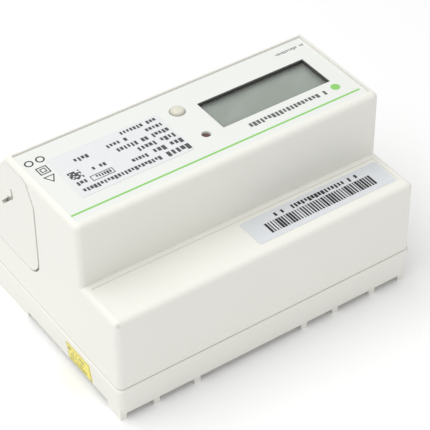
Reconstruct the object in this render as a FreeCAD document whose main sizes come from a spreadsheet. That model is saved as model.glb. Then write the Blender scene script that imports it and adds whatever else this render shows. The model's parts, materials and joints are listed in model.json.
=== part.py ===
"""Seven-module electricity meter for a 35 mm mounting rail, lying on its back.

+Z points out of the front, +Y is the side that is uppermost when mounted, and the origin is the
centre of the bounding box at its lowest plane. All sizes are in millimetres.
"""
import FreeCAD, Part
import Sketcher
import math
import os
import re

DIMENSIONS = {
    # housing
    "overall_width": 122.5,
    "overall_depth": 90.0,
    "overall_height": 70.5,
    "base_height": 15.0,
    "step_height": 44.8,
    "block_depth": 45.0,
    "ledge": 0.6,
    "wall": 2.0,
    "parting_gap": 0.35,
    "edge_round": 2.2,
    "base_taper": 1.3,
    "fit": 0.3,
    # mounting rail
    "rail_center": 1.0,
    "rail_width": 35.0,
    "rail_seat": 3.0,
    "lip_height": 1.8,
    "lip_reach": 2.0,
    "hook_depth": 4.5,
    "rib_width": 2.5,
    # rail latches
    "latch_spacing": 70.0,
    "latch_width": 12.0,
    "latch_body": 1.8,
    "latch_play": 0.2,
    "guide_width": 2.0,
    # terminal cover
    "cover_wall": 2.0,
    "cover_bottom": 28.7,
    "cover_sunk": 2.5,
    "cheek_front": -4.3,
    "cheek_gap": 0.9,
    "cheek_round": 7.5,
    "tongue_gap": 1.3,
    "tongue_radius": 2.3,
    "tongue_slot": 8.5,
    "tongue_inset": 0.4,
    # front panel
    "rim": 1.9,
    "near_rim": 2.9,
    "panel_sunk": 0.8,
    "panel_plate": 1.5,
    "floor_plate": 1.7,
    "panel_play": 0.1,
    "window_width": 44.4,
    "window_depth": 15.6,
    "window_x": -29.35,
    "window_y": -0.5,
    "window_plate": 1.0,
    "window_margin": 1.6,
    "light_radius": 1.65,
    "light_x": -0.25,
    "light_y": 6.9,
    "button_radius": 2.75,
    "button_x": 0.65,
    "button_y": -8.9,
    "button_proud": 1.0,
    "button_play": 0.1,
    # step recess and labels
    "recess_inset": 3.0,
    "recess_near": 4.9,
    "recess_gap": 1.9,
    "recess_sunk": 0.5,
    "label_plate": 0.15,
    "label_margin": 1.25,
    # boards
    "board_plate": 1.6,
    "board_side": 22.5,
    "board_margin": 34.0,
    "board_height": 9.0,
    "board_center": 12.0,
    "display_drop": 9.9,
    "display_side": 18.5,
    "display_margin": 9.0,
    "glass_plate": 1.8,
    # terminals
    "pitch": 9.0,
    "terminal_count": 10,
    "terminal_inset": 6.15,
    "block_body": 18.6,
    "block_top": 38.0,
    "block_floor": 15.5,
    "cage_width": 6.4,
    "cage_length": 8.0,
    "cage_height": 10.5,
    "cage_wall": 1.0,
    "cage_low": 17.9,
    "cage_rise": 2.8,
    "cage_play": 0.2,
    "shaft_radius": 1.75,
    "shaft_play": 0.06,
    "head_radius": 2.7,
    "head_plate": 2.0,
    "head_low": 33.8,
    "screw_tip": 26.0,
    "screw_depth": 7.2,
    "entry_width": 5.0,
    "entry_low": 19.2,
    "entry_high": 24.0,
    "bar_low": 24.0,
    "bar_plate": 1.2,
    "bar_width": 2.5,
    "signal_pitch": 4.6,
    "signal_count": 4,
    "signal_gap": 1.5,
    "signal_head": 1.5,
    # current transformers
    "core_gap": 0.45,
    "core_hole": 3.6,
    "core_length": 10.0,
    "bar_reach": 3.0,
    # housing screws
    "boss_radius": 2.6,
    "thread_radius": 1.4,
    "screw_head": 2.5,
    "post_radius": 2.2,
}

# sizes and places that follow from the sizes above
FOLLOWING = {
    "cover_top": "overall_height - cover_sunk",
    "display_height": "overall_height - display_drop",
    "display_width": "overall_width - display_side",
    "display_depth": "block_depth - display_margin",
    "recess_far": "overall_depth / 2 - rail_center - block_depth / 2 - recess_gap",
    "code_depth": "recess_far - recess_near - 2 * label_margin",
    "board_width": "overall_width - board_side",
    "board_depth": "overall_depth - board_margin",
    "first_terminal": "terminal_inset - (overall_width / 2 - ledge - cover_wall - fit - wall)",
    "first_signal": "first_terminal + terminal_count * pitch + signal_gap",
    "core_radius": "pitch - bar_width / 2 - core_gap",
}

doc = FreeCAD.newDocument("meter")
sheet = doc.addObject("Spreadsheet::Sheet", "dim")
contents = {alias: str(size) for alias, size in DIMENSIONS.items()}
contents.update({alias: f"={formula}" for alias, formula in FOLLOWING.items()})
for row, (alias, content) in enumerate(contents.items(), start=1):
    sheet.set(f"A{row}", alias)
    sheet.set(f"B{row}", content)
    sheet.setAlias(f"B{row}", alias)
doc.recompute()

sub_parts = []


# ---------------------------------------------------------------- helpers

def bound(expression):
    """The expression with every alias written as a cell of the sheet."""
    text = str(expression)
    return re.sub(r"[a-z]+(_[a-z]+)*", lambda word: cell(word.group(0)), text)


def cell(word):
    return f"dim.{word}" if word in contents else word


def value(expression):
    return float(sheet.evalExpression(bound(expression)))


def finish(item, label):
    """Keep an object as a sub-part under the name of its file."""
    item.Label = label
    sub_parts.append(item)
    return item


def place(item, x="0", y="0", z="0"):
    for axis, expression in zip("xyz", (x, y, z)):
        item.setExpression(f"Placement.Base.{axis}", bound(expression))
    return item


def block(name, x, y, z, size_x, size_y, size_z):
    """A box given by the middle of its width and depth and by its lowest plane."""
    item = doc.addObject("Part::Box", name)
    item.setExpression("Length", bound(size_x))
    item.setExpression("Width", bound(size_y))
    item.setExpression("Height", bound(size_z))
    return place(item, f"({x}) - ({size_x}) / 2", f"({y}) - ({size_y}) / 2", z)


def rod(name, x, y, z, radius, length, axis=None):
    """A cylinder that starts at a point and runs along +Z, or along another axis."""
    item = doc.addObject("Part::Cylinder", name)
    item.setExpression("Radius", bound(radius))
    item.setExpression("Height", bound(length))
    if axis:
        turn = FreeCAD.Rotation(FreeCAD.Vector(0, 0, 1), FreeCAD.Vector(*axis))
        item.Placement = FreeCAD.Placement(FreeCAD.Vector(), turn)
    return place(item, x, y, z)


def fuse(name, items):
    item = doc.addObject("Part::MultiFuse", name)
    item.Shapes = items
    return item


def cut(name, base, tools):
    item = doc.addObject("Part::Cut", name)
    item.Base = base
    item.Tool = tools[0] if len(tools) == 1 else fuse(name + "_tools", tools)
    return item


def group(name, items):
    """Separate solids kept together as one sub-part."""
    item = doc.addObject("Part::Compound", name)
    item.Links = items
    return item


def new_body(name):
    return doc.addObject("PartDesign::Body", name)


def plane_of(body, role):
    return next(item for item in body.Origin.OriginFeatures if item.Role == role)


def outline(body, name, role, points, offset="0"):
    """A closed sketch of straight lines whose corners are bound to the sheet."""
    sketch = body.newObject("Sketcher::SketchObject", name)
    sketch.AttachmentSupport = [(plane_of(body, role), "")]
    sketch.MapMode = "FlatFace"
    sketch.setExpression("AttachmentOffset.Base.z", bound(offset))
    corners = [FreeCAD.Vector(value(x), value(y), 0) for x, y in points]
    count = len(corners)
    for index in range(count):
        sketch.addGeometry(Part.LineSegment(corners[index], corners[(index + 1) % count]))
    for index in range(count):
        sketch.addConstraint(Sketcher.Constraint("Coincident", index, 2, (index + 1) % count, 1))
    for index, (x, y) in enumerate(points):
        corner = corners[index]
        for kind, expression, number in (("DistanceX", x, corner.x), ("DistanceY", y, corner.y)):
            key = sketch.addConstraint(Sketcher.Constraint(kind, -1, 1, index, 1, number))
            sketch.setExpression(f"Constraints[{key}]", bound(expression))
    return sketch


def rectangle(x, y, size_x, size_y):
    left, right = f"({x}) - ({size_x}) / 2", f"({x}) + ({size_x}) / 2"
    front, back = f"({y}) - ({size_y}) / 2", f"({y}) + ({size_y}) / 2"
    return [(left, front), (right, front), (right, back), (left, back)]


def feature(body, kind, name, sketch, length, midplane=False, reverse=False):
    """A Pad or a Pocket. A Pocket that removes nothing is an error."""
    before = body.Shape.Volume if body.Tip else 0.0
    item = body.newObject(f"PartDesign::{kind}", name)
    item.Profile = sketch
    item.setExpression("Length", bound(length))
    item.Midplane = midplane
    item.Reversed = reverse
    doc.recompute()
    change = body.Shape.Volume - before
    if (kind == "Pad") != (change > 0):
        raise RuntimeError(f"{name} changed the volume by {change:.3f}")
    return item


def round_edges(body, name, radius, wanted):
    """Fillet the edges of the body that the test picks."""
    base = body.Tip
    names = [f"Edge{index}" for index, edge in enumerate(base.Shape.Edges, start=1) if wanted(edge)]
    item = body.newObject("PartDesign::Fillet", name)
    item.Base = (base, names)
    item.setExpression("Radius", bound(radius))
    doc.recompute()
    return item


def runs_along(edge, axis):
    """True for a straight edge along one of the axes 0, 1, 2."""
    if not isinstance(edge.Curve, Part.Line) or len(edge.Vertexes) < 2:
        return False
    span = edge.Vertexes[1].Point.sub(edge.Vertexes[0].Point)
    return abs(span[axis]) > 0.999 * span.Length


def near_to(number, *expressions):
    return any(abs(number - value(expression)) < 0.01 for expression in expressions)


def spread(count, pitch, start):
    return [f"{start} + {index} * {pitch}" for index in range(int(value(count)))]


# ---------------------------------------------------------------- shared places

HALF_WIDTH = "(overall_width / 2 - ledge)"
NEAR_WALL = "(overall_depth / 2 - ledge)"
BLOCK_NEAR = "(rail_center + block_depth / 2)"
BLOCK_FAR = "(rail_center - block_depth / 2)"
DECK = "(cover_bottom - fit)"
RAIL_NEAR = "(rail_center + rail_width / 2)"
RAIL_FAR = "(rail_center - rail_width / 2)"
FLOOR_TOP = "(rail_seat + wall)"
PANEL_TOP = "(overall_height - panel_sunk)"
PANEL_LOW = "(overall_height - panel_sunk - panel_plate)"
CEILING = "(overall_height - panel_sunk - panel_plate - floor_plate)"
CAVITY_HALF = "(overall_width / 2 - ledge - cover_wall - fit - wall + 0.2)"
TERMINAL_FRONT = "(-overall_depth / 2 + cover_wall + fit)"
TERMINAL_Y = "(-overall_depth / 2 + cover_wall + fit + block_body / 2)"
SCREW_Y = "(-overall_depth / 2 + cover_wall + fit + screw_depth)"
TERMINAL_MIDDLE = "(first_terminal + (terminal_count - 1) * pitch / 2)"
SIGNAL_MIDDLE = "(first_signal + (signal_count - 1) * signal_pitch / 2)"
BLOCK_BACK = "(-overall_depth / 2 + cover_wall + fit + block_body)"
CORE_FAR = f"({BLOCK_BACK} + 10.1)"
HOUSING_SCREW_X = f"({CAVITY_HALF} - boss_radius + 0.25)"
HOUSING_SCREW_ROWS = (f"{NEAR_WALL} - wall - boss_radius - 1.8", f"{BLOCK_BACK} + boss_radius + 1.1")
HOUSING_SCREWS = [(f"{side} * {HOUSING_SCREW_X}", y) for side in (1, -1) for y in HOUSING_SCREW_ROWS]
RIB_PLACES = ["58.8", "45.7", "29.3", "-15.75", "-29.3", "-45.7", "-58.8"]


# ---------------------------------------------------------------- housing

def base_housing():
    """Lower tray with a proud ledge, tapered walls, feet, fixed hooks and latch guides."""
    body = new_body("base_shell")
    footprint = rectangle("0", "0", "overall_width", "overall_depth")
    top = outline(body, "tray_outline", "XY_Plane", footprint, "base_height")
    tray = feature(body, "Pad", "tray", top, "base_height - rail_seat", reverse=True)
    tray.setExpression("TaperAngle", bound("-atan(base_taper / (base_height - rail_seat))"))
    doc.recompute()
    if body.Shape.BoundBox.XLength > value("overall_width") + 0.01:
        raise RuntimeError("the tray widens downwards")
    round_edges(body, "tray_corners", "edge_round", upright)
    inside = rectangle("0", "0", f"2 * ({HALF_WIDTH} - wall)", f"2 * ({NEAR_WALL} - wall)")
    room = outline(body, "room_outline", "XY_Plane", inside, "base_height")
    feature(body, "Pocket", "room", room, f"base_height - {FLOOR_TOP}")
    round_edges(body, "ledge_round", "ledge", lambda edge: outer_rim(edge, "base_height"))
    hole = ("rail_seat - 1", "thread_radius + 0.2", "wall + 2")
    shell = cut("pierced_tray", body, [rod("floor_hole", x, y, *hole) for x, y in HOUSING_SCREWS])
    pieces = [shell] + feet() + fixed_hooks() + latch_guides()
    finish(fuse("base_housing", pieces), "base_housing")


def upright(edge):
    low, high = edge.BoundBox.ZMin, edge.BoundBox.ZMax
    return high - low > value("(base_height - rail_seat) * 0.9")


def outer_rim(edge, height):
    box = edge.BoundBox
    flat = near_to(box.ZMin, height) and near_to(box.ZMax, height)
    at_end = max(abs(box.XMin), abs(box.XMax)) > value(f"{HALF_WIDTH} - 0.5")
    at_side = max(abs(box.YMin), abs(box.YMax)) > value(f"{NEAR_WALL} - 0.5")
    return flat and (at_end or at_side)


def feet():
    """Ribs under the floor at both long edges, and a long foot at each far end."""
    items = []
    for index, x in enumerate(RIB_PLACES):
        x = f"({x}) * overall_width / 122.5"
        near = "(overall_depth / 2 - base_taper - 4.5)"
        size = ("rib_width", "8", FLOOR_TOP)
        items.append(block(f"near_rib_{index}", x, near, "0", *size))
        if abs(value(x)) < value("latch_spacing / 2 - latch_width"):
            items.append(block(f"far_rib_{index}", x, f"-{near}", "0", *size))
    foot_depth = f"({RAIL_FAR} + overall_depth / 2 - base_taper - 1.5)"
    foot_y = f"(-overall_depth / 2 + base_taper + 0.5 + {foot_depth} / 2)"
    for side in (1, -1):
        x = f"{side} * (overall_width / 2 - base_taper - 0.5 - rib_width / 2)"
        items.append(block(f"end_foot_{side + 1}", x, foot_y, "0", "rib_width", foot_depth, FLOOR_TOP))
    return items


def fixed_hooks():
    """Hooks that reach under the near flange of the rail."""
    items = []
    for index, (x, width) in enumerate((("0", "24"), ("42", "14"), ("-42", "14"))):
        post_y = f"({RAIL_NEAR} + 0.3 + hook_depth / 2)"
        lip_y = f"({RAIL_NEAR} + 0.8 - (lip_reach + 1) / 2)"
        items.append(block(f"hook_post_{index}", x, post_y, "0", width, "hook_depth", FLOOR_TOP))
        items.append(block(f"hook_lip_{index}", x, lip_y, "0", width, "lip_reach + 1", "lip_height"))
    return items


def latch_guides():
    """Two rails beside each latch, each with a lip that carries the latch."""
    items = []
    length = f"({RAIL_FAR} + overall_depth / 2 - base_taper - 2)"
    y = f"({RAIL_FAR} - 1 - {length} / 2)"
    for side in (1, -1):
        for hand in (1, -1):
            name = f"{side + 1}{hand + 1}"
            inner = "(latch_width / 2 + latch_play)"
            x = f"({side} * latch_spacing / 2 + {hand} * ({inner} + guide_width / 2))"
            lip_x = f"({side} * latch_spacing / 2 + {hand} * ({inner} - 0.4))"
            items.append(block(f"guide_{name}", x, y, "0", "guide_width", length, FLOOR_TOP))
            items.append(block(f"guide_lip_{name}", lip_x, y, "0", "1.2", length, "0.8"))
    return items


def upper_housing():
    """Hood with a low near step, a raised middle block and a deck for the terminals."""
    body = new_body("upper_shell")
    low = "base_height + parting_gap"
    points = [
        (NEAR_WALL, low),
        (NEAR_WALL, "step_height"),
        (BLOCK_NEAR, "step_height"),
        (BLOCK_NEAR, "overall_height"),
        (BLOCK_FAR, "overall_height"),
        (BLOCK_FAR, DECK),
        (f"-{NEAR_WALL}", DECK),
        (f"-{NEAR_WALL}", low),
    ]
    feature(body, "Pad", "hood", outline(body, "hood_outline", "YZ_Plane", points), f"2 * {HALF_WIDTH}", True)
    round_edges(body, "hood_round", "edge_round", hood_edge)
    inner_points = [
        (f"{NEAR_WALL} - wall", low + " - 1"),
        (f"{NEAR_WALL} - wall", "step_height - wall"),
        (f"{BLOCK_NEAR} - wall", "step_height - wall"),
        (f"{BLOCK_NEAR} - wall", CEILING),
        (f"{BLOCK_FAR} + wall", CEILING),
        (f"{BLOCK_FAR} + wall", f"{DECK} - wall"),
        (f"-{NEAR_WALL} + wall", f"{DECK} - wall"),
        (f"-{NEAR_WALL} + wall", low + " - 1"),
    ]
    cavity = outline(body, "cavity_outline", "YZ_Plane", inner_points)
    feature(body, "Pocket", "cavity", cavity, f"2 * {CAVITY_HALF}", True)
    panel_recess(body)
    step_recess(body)
    tools = cheek_pockets() + panel_openings("floor") + [terminal_opening()]
    bosses = [rod("housing_boss", x, y, FLOOR_TOP, "boss_radius", "20") for x, y in HOUSING_SCREWS]
    pilots = [rod("boss_pilot", x, y, "0", "thread_radius + 0.05", "22") for x, y in HOUSING_SCREWS]
    post = f"{CEILING} - display_height + 0.5"
    spots = display_screw_places()
    posts = [rod("display_post", x, y, "display_height", "post_radius", post) for x, y in spots]
    holes = [rod("post_pilot", x, y, "display_height - 1", "1", "5") for x, y in spots]
    shell = cut("open_hood", body, tools)
    joined = fuse("hood_with_bosses", [shell] + bosses + posts + cover_lugs())
    finish(cut("upper_housing", joined, pilots + holes), "upper_housing")


def cover_lugs():
    """Lugs that carry on the two end walls under the cover, behind the tongues of its cheeks."""
    items = []
    points = [
        (f"{BLOCK_FAR} + 1", "cover_top - 23"),
        (f"{BLOCK_FAR} + 1", "cover_top - 5"),
        (f"{BLOCK_FAR} - 1", "cover_top - 5"),
        (f"{BLOCK_FAR} - 8", "cover_top - 12"),
        (f"{BLOCK_FAR} - 8", "cover_top - 23"),
    ]
    for side in (1, -1):
        body = new_body(f"cover_lug_{side + 1}")
        face = f"{side} * ({HALF_WIDTH} - cover_wall - fit)"
        sketch = outline(body, f"lug_outline_{side + 1}", "YZ_Plane", points, face)
        feature(body, "Pad", f"lug_{side + 1}", sketch, "wall", reverse=side > 0)
        items.append(body)
    return items


def hood_edge(edge):
    """The outer edges of the hood that are rounded."""
    box = edge.BoundBox
    if runs_along(edge, 0):
        crown = near_to(box.ZMax, "overall_height")
        return crown or (near_to(box.ZMax, "step_height") and near_to(box.YMax, NEAR_WALL))
    if runs_along(edge, 1):
        return near_to(box.ZMax, "overall_height") or near_to(box.ZMax, "step_height")
    return runs_along(edge, 2) and near_to(box.YMax, NEAR_WALL, BLOCK_NEAR)


def panel_size():
    depth = f"(block_depth - rim - near_rim)"
    middle = f"({BLOCK_FAR} + rim + {depth} / 2)"
    return "0", middle, f"(2 * ({HALF_WIDTH} - rim))", depth


def panel_recess(body):
    x, y, width, depth = panel_size()
    sketch = outline(body, "panel_outline", "XY_Plane", rectangle(x, y, width, depth), "overall_height")
    feature(body, "Pocket", "panel_recess", sketch, "panel_sunk + panel_plate")


def step_recess(body):
    depth = "(recess_far - recess_near)"
    middle = f"(overall_depth / 2 - recess_near - {depth} / 2)"
    shape = rectangle("0", middle, f"2 * ({HALF_WIDTH} - recess_inset)", depth)
    sketch = outline(body, "step_recess_outline", "XY_Plane", shape, "step_height")
    feature(body, "Pocket", "step_recess", sketch, "recess_sunk")


def panel_openings(level):
    """Tools for the window, the light and the button, for the panel or the floor under it."""
    low, high = (PANEL_LOW, PANEL_TOP) if level == "panel" else (CEILING, PANEL_LOW)
    margin = "0" if level == "panel" else "(window_margin + panel_play)"
    length = f"{high} - {low} + 2"
    width, depth = f"window_width + 2 * {margin}", f"window_depth + 2 * {margin}"
    return [
        block(f"{level}_window", "window_x", "window_y", f"{low} - 1", width, depth, length),
        rod(f"{level}_light", "light_x", "light_y", f"{low} - 1", "light_radius", length),
        rod(f"{level}_button", "button_x", "button_y", f"{low} - 1", "button_radius + button_play", length),
    ]


def cheek_corners(gap, front_gap):
    """Corners of the cheek in the side view, without the far part."""
    front = f"(cheek_front + {front_gap})"
    top = f"(cover_top + {gap})"
    low = f"(cover_bottom - {gap})"
    return [
        (front, low),
        (front, f"{top} - 8.5"),
        (f"{front} - 4.5", top),
    ]


def cheek_pockets():
    """Pockets of the two end faces that the cheeks of the terminal cover slide into."""
    items = []
    for side in (1, -1):
        body = new_body(f"cheek_pocket_{side + 1}")
        points = cheek_corners("fit", "cheek_gap")
        top, low = points[2][1], points[0][1]
        points += [(f"{BLOCK_FAR} - 3", top), (f"{BLOCK_FAR} - 3", low)]
        outside = f"{side} * {HALF_WIDTH} + {side}"
        sketch = outline(body, f"pocket_outline_{side + 1}", "YZ_Plane", points, outside)
        feature(body, "Pad", f"pocket_{side + 1}", sketch, "cover_wall + fit + 1", reverse=side > 0)
        round_cheek(body, "cheek_gap", "fit")
        items.append(body)
    return items


def round_cheek(body, front_gap, gap):
    front = f"cheek_front + {front_gap}"

    def low_corner(edge):
        box = edge.BoundBox
        return runs_along(edge, 0) and near_to(box.YMax, front) and near_to(box.ZMin, f"cover_bottom - {gap}")

    def high_corner(edge):
        box = edge.BoundBox
        return runs_along(edge, 0) and box.YMax > value(f"{front} - 5") and box.ZMin > value("cover_top - 15")

    round_edges(body, body.Name + "_low", "cheek_round", low_corner)
    round_edges(body, body.Name + "_high", "3", high_corner)


def terminal_opening():
    """Opening of the deck and the far wall for the two terminal blocks."""
    left = f"({TERMINAL_MIDDLE} - terminal_count * pitch / 2 - fit)"
    right = f"({SIGNAL_MIDDLE} + signal_count * signal_pitch / 2 + fit)"
    far = "(-overall_depth / 2 - 2)"
    near = f"({TERMINAL_FRONT} + block_body + fit)"
    middle = (f"({left} + {right}) / 2", f"({far} + {near}) / 2")
    return block("terminal_opening", *middle, "base_height", f"{right} - {left}", f"{near} - {far}", "30")


def housing_screws():
    items = []
    for x, y in HOUSING_SCREWS:
        head = rod("housing_screw_head", x, y, "rail_seat - 1.8", "screw_head", "1.8")
        shaft = rod("housing_screw_shaft", x, y, "rail_seat", "thread_radius", "17")
        slot = block("housing_screw_slot", x, y, "rail_seat - 1.9", "2.4 * thread_radius", "0.7", "0.9")
        cross = block("housing_screw_cross", x, y, "rail_seat - 1.9", "0.7", "2.4 * thread_radius", "0.9")
        items.append(cut("housing_screw", fuse("housing_screw_blank", [head, shaft]), [slot, cross]))
    finish(group("housing_screws", items), "housing_screws")


# ---------------------------------------------------------------- front panel and display

def front_panel():
    x, y, width, depth = panel_size()
    size = (f"{width} - 2 * panel_play", f"{depth} - 2 * panel_play", "panel_plate")
    plate = block("panel_sheet", x, y, PANEL_LOW, *size)
    finish(cut("front_panel", plate, panel_openings("panel")), "front_panel")


def display():
    center = ("window_x", "window_y")
    pane = ("window_width + 2 * window_margin", "window_depth + 2 * window_margin", "window_plate")
    window = block("display_window", *center, f"{PANEL_LOW} - window_plate", *pane)
    finish(window, "display_window")
    glass_top = f"({PANEL_LOW} - window_plate - 0.05)"
    glass_size = ("(window_width + 2)", "(window_depth + 2)", "glass_plate")
    glass = block("lcd_glass", *center, f"{glass_top} - glass_plate", *glass_size)
    finish(glass, "lcd_glass")
    frame_low = "(display_height + 1.2)"
    frame_top = f"({CEILING} - 0.05)"
    frame_size = ("(window_width + 6)", "(window_depth + 6)", f"{frame_top} - {frame_low}")
    frame = block("holder_block", *center, frame_low, *frame_size)
    seat_size = ("window_width + 2.2", "window_depth + 2.2", "9")
    seat = block("holder_seat", *center, f"{glass_top} - glass_plate", *seat_size)
    well = block("holder_well", *center, f"{frame_low} - 1", "window_width - 6", "window_depth - 6", "9")
    slots = [strip_room(side, "0.05", frame_low) for side in (1, -1)]
    finish(cut("lcd_holder", frame, [seat, well] + slots), "lcd_holder")
    strips = [strip(side, glass_top) for side in (1, -1)]
    finish(group("lcd_contact_strips", strips), "lcd_contact_strips")


def strip_room(side, play, low):
    y = f"(window_y + {side} * (window_depth / 2 - 1.2))"
    size = (f"window_width - 4 + 2 * {play}", f"1.8 + 2 * {play}", "9")
    return block(f"strip_room_{side + 1}", "window_x", y, f"{low} - 1", *size)


def strip(side, glass_top):
    y = f"(window_y + {side} * (window_depth / 2 - 1.2))"
    size = ("window_width - 4", "1.8", f"{glass_top} - glass_plate - display_height")
    return block(f"contact_strip_{side + 1}", "window_x", y, "display_height", *size)


def display_screw_places():
    return [(f"{x} * (display_width / 2 - 4)", f"rail_center + {y} * (display_depth / 2 - 3)")
            for x in (1, -1) for y in (1, -1)]


def display_board():
    low = "(display_height - board_plate)"
    plate = block("display_sheet", "0", "rail_center", low, "display_width", "display_depth", "board_plate")
    holes = [rod("display_board_hole", x, y, f"{low} - 1", "1.2", "4") for x, y in display_screw_places()]
    finish(cut("display_board", plate, holes), "display_board")
    screws = []
    for x, y in display_screw_places():
        head = rod("display_screw_head", x, y, f"{low} - 1.4", "2", "1.4")
        shaft = rod("display_screw_shaft", x, y, low, "0.95", "board_plate + 3")
        screws.append(fuse("display_screw", [head, shaft]))
    finish(group("display_screws", screws), "display_screws")


def pulse_light():
    foot = block("light_foot", "light_x", "light_y", "display_height", "4", "4", "1.6")
    lens = rod("light_lens", "light_x", "light_y", "display_height + 1.6", "light_radius - 0.15",
               f"{PANEL_TOP} - 1 - display_height - 1.6")
    finish(fuse("pulse_light", [foot, lens]), "pulse_light")


def push_button():
    """Domed cap on a stem with a collar that stays under the floor of the recess."""
    body = new_body("button_cap")
    top = f"({PANEL_TOP} + button_proud)"
    low = "(display_height + 4.2)"
    collar = f"({CEILING} - 0.1)"
    points = [
        ("0", low),
        ("2", low),
        ("2", f"{collar} - 0.9"),
        ("button_radius + 0.7", f"{collar} - 0.9"),
        ("button_radius + 0.7", collar),
        ("button_radius", collar),
        ("button_radius", f"{top} - 0.9"),
        ("button_radius - 0.5", f"{top} - 0.35"),
        ("button_radius - 1.4", f"{top} - 0.08"),
        ("0", top),
    ]
    sketch = outline(body, "button_outline", "XZ_Plane", points)
    turned = body.newObject("PartDesign::Revolution", "button_turned")
    turned.Profile = sketch
    turned.ReferenceAxis = (sketch, ["V_Axis"])
    turned.Angle = 360
    place(body, "button_x", "button_y")
    finish(body, "push_button")


def switch():
    low = "display_height"
    case = block("switch_case", "button_x", "button_y", low, "6", "6", "3.2")
    bore = rod("switch_bore", "button_x", "button_y", f"{low} + 1.2", "1.75", "4")
    finish(cut("button_switch", case, [bore]), "button_switch")
    plunger = rod("switch_plunger", "button_x", "button_y", f"{low} + 2.1", "1.65", "2.1")
    finish(plunger, "switch_plunger")


# ---------------------------------------------------------------- boards and their parts

def main_board():
    low = "board_height"
    plate = block("main_sheet", "0", "board_center", low, "board_width", "board_depth", "board_plate")
    finish(plate, "main_board")
    spacers = []
    for x, y in ((1, 1), (1, -1), (-1, 1), (-1, -1)):
        spot = (f"{x} * (board_width / 2 - 5)", f"board_center + {y} * (board_depth / 2 - 5)")
        spacers.append(rod("board_spacer", *spot, FLOOR_TOP, "3", f"board_height - {FLOOR_TOP}"))
    finish(group("board_spacers", spacers), "board_spacers")
    top = "(board_height + board_plate)"
    cable_length = f"display_height - board_plate - {top}"
    cable = block("board_cable", "display_width / 2 - 12", "rail_center + 12", top, "16", "0.8", cable_length)
    finish(cable, "board_cable")
    core = block("supply_core", "-30", "board_center + 16", top, "22", "20", "18")
    coil = block("supply_coil", "-30", "board_center + 16", f"{top} + 4", "32", "13", "11")
    finish(fuse("supply_transformer", [core, coil]), "supply_transformer")
    caps = [rod("capacitor", f"{x}", "board_center + 17", top, "5", "16") for x in (0, 13)]
    finish(group("supply_capacitors", caps), "supply_capacitors")
    chip = block("metering_chip", "30", "board_center + 12", top, "12", "12", "1.4")
    finish(chip, "metering_chip")


def current_paths():
    """Each phase: a bar that runs in, once through its transformer core, and out again."""
    for phase in range(3):
        middle = f"(first_terminal + {3 * phase + 1} * pitch)"
        level = "(bar_low + bar_plate / 2)"
        ring = rod("core_ring", middle, CORE_FAR, level, "core_radius", "core_length", (0, 1, 0))
        hole = rod("core_bore", middle, f"{CORE_FAR} - 1", level, "core_hole", "core_length + 2", (0, 1, 0))
        finish(cut("core", ring, [hole]), f"current_transformer_{phase + 1}")
        tail = f"({SCREW_Y} - cage_length / 2 + bar_width / 2)"
        back = f"({CORE_FAR} + core_length + bar_reach)"
        turn = f"({CORE_FAR} - bar_reach)"
        runs = [
            (f"{middle} - pitch", tail, f"{middle} - pitch", back),
            (f"{middle} - pitch", back, middle, back),
            (middle, back, middle, turn),
            (middle, turn, f"{middle} + pitch", turn),
            (f"{middle} + pitch", turn, f"{middle} + pitch", tail),
        ]
        strips = [flat_run(f"bar_{phase}_{index}", *run) for index, run in enumerate(runs)]
        finish(fuse("bar", strips), f"current_bar_{phase + 1}")
    tongues = []
    for index in (1, 4, 7, 9):
        x = f"first_terminal + {index} * pitch"
        tail = f"({SCREW_Y} - cage_length / 2 + bar_width / 2)"
        tongues.append(flat_run(f"tongue_{index}", x, tail, x, f"({CORE_FAR} - bar_reach - 5)"))
    finish(group("voltage_tongues", tongues), "voltage_tongues")


def flat_run(name, start_x, start_y, end_x, end_y):
    """A straight strip of bar between two points, with its ends a half width past them."""
    width = f"abs({end_x} - ({start_x})) + bar_width"
    depth = f"abs({end_y} - ({start_y})) + bar_width"
    middle = (f"({start_x} + {end_x}) / 2", f"({start_y} + {end_y}) / 2")
    return block(name, *middle, "bar_low", width, depth, "bar_plate")


# ---------------------------------------------------------------- terminals

def terminal_block():
    """Main block: for each terminal a screw well, a cage room and a wire entry."""
    case = block("terminal_case", TERMINAL_MIDDLE, TERMINAL_Y, "block_floor",
                 "terminal_count * pitch", "block_body", "block_top - block_floor")
    room_low = "(cage_low - cage_play)"
    room_high = "(cage_low + cage_height + cage_rise + 0.5)"
    room_width = "(cage_width + 2 * cage_play)"
    room_depth = "(cage_length + 2 * cage_play)"
    tools = []
    for x in spread("terminal_count", "pitch", "first_terminal"):
        tools.append(rod("well", x, SCREW_Y, "head_low", "head_radius + 0.3", "20"))
        tools.append(rod("neck", x, SCREW_Y, f"{room_high} - 1", "shaft_radius + 0.25", "10"))
        tools.append(block("room", x, SCREW_Y, room_low, room_width, room_depth, f"{room_high} - {room_low}"))
        entry_y = f"({TERMINAL_FRONT} + {SCREW_Y}) / 2 - 1"
        entry_size = ("entry_width", "screw_depth + 2", "entry_high - entry_low")
        tools.append(block("entry", x, entry_y, "entry_low", *entry_size))
        slot = (f"({SCREW_Y} + 12)", "bar_low - 0.1", "bar_width + 0.3", "24", "bar_plate + 0.2")
        tools.append(block("bar_slot", x, *slot))
    finish(cut("terminal_block", case, tools), "terminal_block")


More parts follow.
